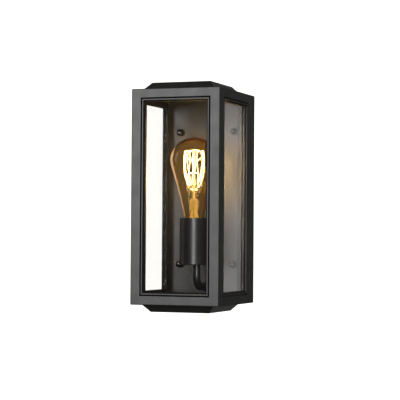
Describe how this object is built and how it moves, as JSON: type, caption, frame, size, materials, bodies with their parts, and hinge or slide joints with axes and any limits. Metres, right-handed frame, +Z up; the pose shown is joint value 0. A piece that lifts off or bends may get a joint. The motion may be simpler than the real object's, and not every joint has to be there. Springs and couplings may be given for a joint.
{
  "type": "outdoor wall lantern",
  "caption": "Box-shaped outdoor wall lantern: a glazed cage that slides off a wall plate, with a screw-in filament lamp on a bent arm.",
  "frame": {"origin": "on the wall, on the axis of the cable entry, at the middle of the frame's height", "axes": "+Y into the wall, -Y out of the front glass, +Z up, +X to the right as seen from the front"},
  "size_m": [0.124, 0.141, 0.3036],
  "materials": {
    "black_coat": "fine-textured matt powder coat on die-cast aluminium",
    "plate_coat": "matt powder coat on sheet steel",
    "gloss_black": "glossy black enamel on steel",
    "zinc_steel": "zinc-plated steel",
    "black_screw": "black zinc-plated steel",
    "brass": "plain brass",
    "rubber": "matt EPDM",
    "porcelain": "glazed porcelain",
    "nylon": "moulded nylon",
    "black_plastic": "moulded thermoset plastic",
    "brown_pvc": "silicone wire sleeve",
    "blue_pvc": "silicone wire sleeve",
    "earth_pvc": "green and yellow wire sleeve",
    "clear_glass": "clear float glass",
    "amber_glass": "amber lamp glass",
    "lamp_cap": "rolled nickel-plated cap",
    "cap_glass": "black vitrite",
    "solder": "soldered tip",
    "filament": "glowing carbon-style filament"
  },
  "bodies": {
    "wall_side": {"wall_gasket": "rubber", "wall_bracket": "zinc_steel", "bracket_studs": "zinc_steel", "spacer_tubes": "zinc_steel", "wall_plate": "plate_coat", "nut_washers": "rubber", "dome_nuts": "gloss_black", "cable_grommet": "rubber", "terminal_block": "nylon", "terminal_screws": "zinc_steel", "block_screw": "zinc_steel", "earth_tag": "brass", "earth_screw": "zinc_steel", "earth_wire": "earth_pvc", "live_wire": "brown_pvc", "neutral_wire": "blue_pvc", "holder_arm": "gloss_black", "arm_locknut": "zinc_steel", "arm_washer": "zinc_steel", "arm_collar": "gloss_black", "holder_cup": "black_coat", "holder_ring": "black_plastic", "lamp_insulator": "porcelain", "screw_shell": "brass", "centre_contact": "brass", "side_contact": "brass", "clamp_screws": "zinc_steel"},
    "cage": {"cage_frame": "black_coat", "cage_seal": "rubber", "top_cap": "black_coat", "bottom_cap": "black_coat", "top_cap_screws": "black_screw", "bottom_cap_screws": "black_screw", "top_cage_screws": "black_screw", "bottom_cage_screws": "black_screw", "side_frame_screws": "black_screw", "front_glazing_frame": "black_coat", "left_glazing_frame": "black_coat", "right_glazing_frame": "black_coat", "front_glazing_seal": "rubber", "left_glazing_seal": "rubber", "right_glazing_seal": "rubber", "front_glass": "clear_glass", "left_glass": "clear_glass", "right_glass": "clear_glass", "front_glazing_bead": "black_coat", "left_glazing_bead": "black_coat", "right_glazing_bead": "black_coat"},
    "bulb_lift": {"bulb_tip": "solder"},
    "bulb": {"bulb_glass": "amber_glass", "bulb_cap": "lamp_cap", "bulb_cap_insulator": "cap_glass", "bulb_stem": "clear_glass", "filament": "filament", "filament_hooks": "zinc_steel", "lead_wires": "zinc_steel"}
  },
  "joints": [
    {"name": "cage_slide", "type": "slide", "parent": "wall_side", "child": "cage", "axis": [0, -1, 0], "range_m": [0, 0.16]},
    {"name": "lamp_rise", "type": "slide", "parent": "wall_side", "child": "bulb_lift", "axis": [0, 0, 1], "range_m": [0, 0.0252]},
    {"name": "lamp_turn", "type": "hinge", "parent": "bulb_lift", "child": "bulb", "pos_m": [0, -0.0705, 0], "axis": [0, 0, 1], "range_deg": [0, 2480]}
  ],
  "couplings": [
    {"joint": "lamp_rise", "follows": "lamp_turn", "m_per_rad": 0.00057757}
  ]
}
